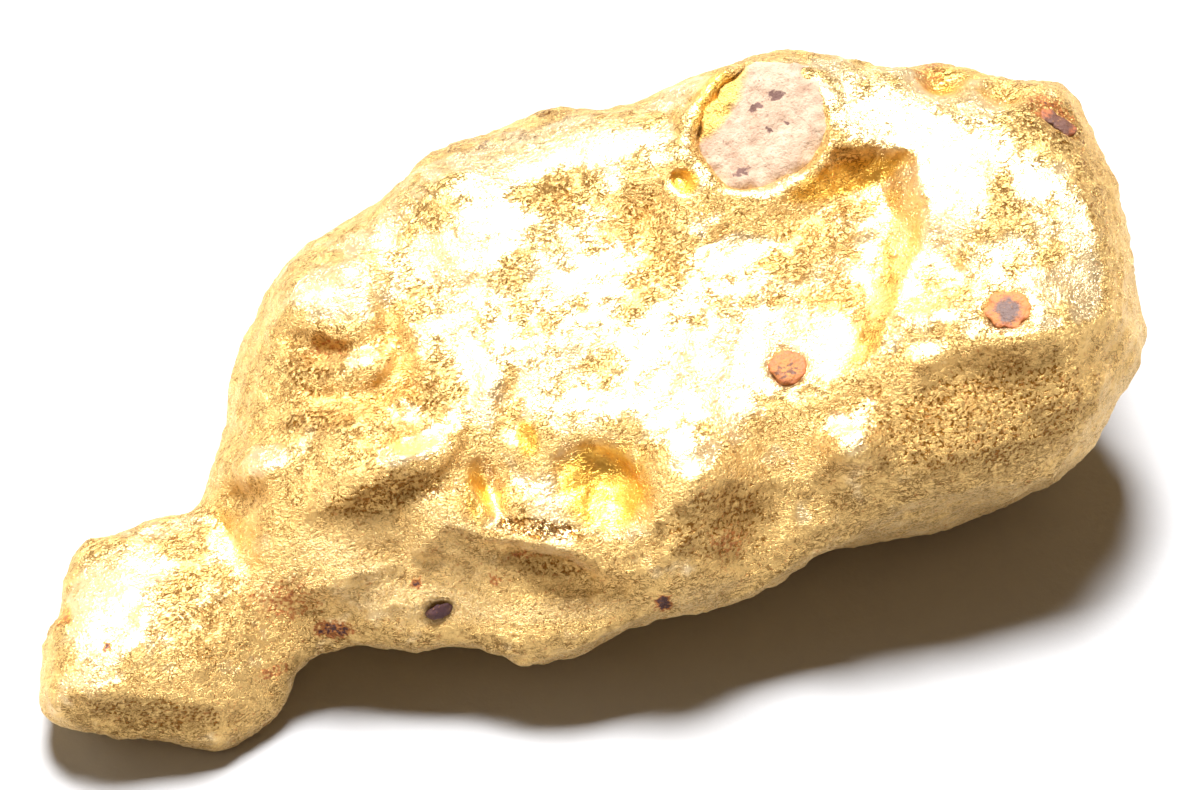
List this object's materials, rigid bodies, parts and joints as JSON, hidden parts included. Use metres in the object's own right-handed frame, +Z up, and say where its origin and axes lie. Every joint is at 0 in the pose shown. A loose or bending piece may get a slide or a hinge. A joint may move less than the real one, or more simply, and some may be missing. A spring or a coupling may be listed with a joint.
{
  "type": "gold nugget",
  "caption": "Natural gold nugget: a water-worn lump of native gold with a narrow tail, a large hollow and grains of host rock, lying on worn flats.",
  "frame": {"origin": "on the ground, under the middle of the nugget's box", "axes": "+X along the nugget from its tail to its blunt end, +Z up from the surface it lies on"},
  "size_m": [0.026, 0.0122, 0.0092],
  "materials": {
    "native_gold": "water-worn native gold, finely pitted, satin",
    "quartz_rock": "matt, granular pink-grey quartz rock",
    "ironstone": "matt red-brown iron oxide"
  },
  "bodies": {
    "root": {"gold": "native_gold", "quartz_pebble": "quartz_rock", "ironstone_hollow": "ironstone", "ironstone_shoulder": "ironstone", "ironstone_seam": "ironstone", "ironstone_sliver": "ironstone"}
  },
  "joints": []
}
